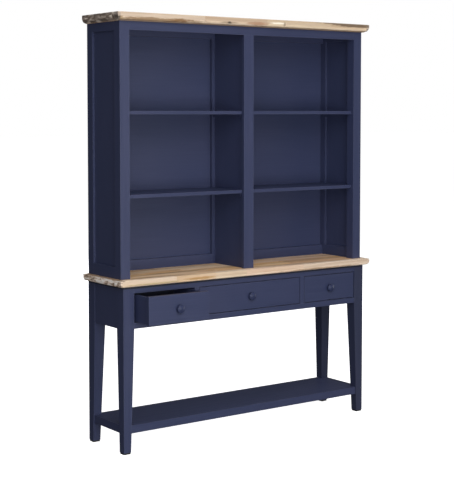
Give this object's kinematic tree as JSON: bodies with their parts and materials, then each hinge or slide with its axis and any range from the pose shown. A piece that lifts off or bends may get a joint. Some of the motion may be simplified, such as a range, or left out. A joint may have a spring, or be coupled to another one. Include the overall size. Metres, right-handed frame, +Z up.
{
  "type": "console table with hutch",
  "caption": "Console table with drawers and a low shelf between tapered legs, carrying an open two-bay hutch with shelves under a moulded wooden top.",
  "frame": {"origin": "on the floor, at the middle of the box round the whole object as stored, with its left drawer 116 mm out", "axes": "+Z up, -Y the front, towards the person opening the drawers, +X to the right as that person sees it"},
  "size_m": [1.43, 0.4384, 1.91],
  "materials": {
    "navy_wood": "solid wood with a satin navy paint, slightly rubbed at the edges",
    "light_wood": "light hardwood staves with strong grain, matt clear finish",
    "plain_wood": "unfinished hardwood dowels",
    "screw_steel": "zinc-plated steel",
    "glide_plastic": "black plastic glide"
  },
  "bodies": {
    "cabinet": {"back_apron": "navy_wood", "back_panel": "navy_wood", "centre_back_batten": "navy_wood", "centre_divider": "navy_wood", "centre_stile": "navy_wood", "drawer_dividers": "navy_wood", "drawer_kickers": "navy_wood", "drawer_runners": "navy_wood", "drawer_stops": "navy_wood", "foot_glides": "glide_plastic", "front_bottom_rail": "navy_wood", "front_top_rail": "navy_wood", "hutch_back_bottom_rails": "navy_wood", "hutch_back_top_rail": "navy_wood", "hutch_dowels": "plain_wood", "hutch_front_top_rail": "navy_wood", "hutch_side_rails": "navy_wood", "hutch_top": "light_wood", "leg_back_left": "navy_wood", "leg_back_right": "navy_wood", "leg_front_left": "navy_wood", "leg_front_right": "navy_wood", "lower_shelf_end_rails": "navy_wood", "lower_shelf_long_rails": "navy_wood", "lower_shelf_panel": "navy_wood", "post_back_left": "navy_wood", "post_back_right": "navy_wood", "post_front_left": "navy_wood", "post_front_right": "navy_wood", "shelf_cleats": "navy_wood", "shelf_lower_left": "navy_wood", "shelf_lower_right": "navy_wood", "shelf_upper_left": "navy_wood", "shelf_upper_right": "navy_wood", "side_apron_left": "navy_wood", "side_apron_right": "navy_wood", "side_panel_left": "navy_wood", "side_panel_right": "navy_wood", "table_top": "light_wood", "top_riser_strips": "navy_wood", "top_screws": "screw_steel"},
    "left_drawer": {"left_drawer_back": "navy_wood", "left_drawer_bottom": "navy_wood", "left_drawer_front": "navy_wood", "left_drawer_knob": "navy_wood", "left_drawer_knob_screw": "screw_steel", "left_drawer_sides": "navy_wood"},
    "middle_drawer": {"middle_drawer_back": "navy_wood", "middle_drawer_bottom": "navy_wood", "middle_drawer_front": "navy_wood", "middle_drawer_knob": "navy_wood", "middle_drawer_knob_screw": "screw_steel", "middle_drawer_sides": "navy_wood"},
    "right_drawer": {"right_drawer_back": "navy_wood", "right_drawer_bottom": "navy_wood", "right_drawer_front": "navy_wood", "right_drawer_knob": "navy_wood", "right_drawer_knob_screw": "screw_steel", "right_drawer_sides": "navy_wood"}
  },
  "joints": [
    {"name": "left_drawer_slide", "type": "slide", "parent": "cabinet", "child": "left_drawer", "axis": [0, -1, 0], "range_m": [-0.116, 0.092]},
    {"name": "middle_drawer_slide", "type": "slide", "parent": "cabinet", "child": "middle_drawer", "axis": [0, -1, 0], "range_m": [0, 0.208]},
    {"name": "right_drawer_slide", "type": "slide", "parent": "cabinet", "child": "right_drawer", "axis": [0, -1, 0], "range_m": [0, 0.208]}
  ]
}
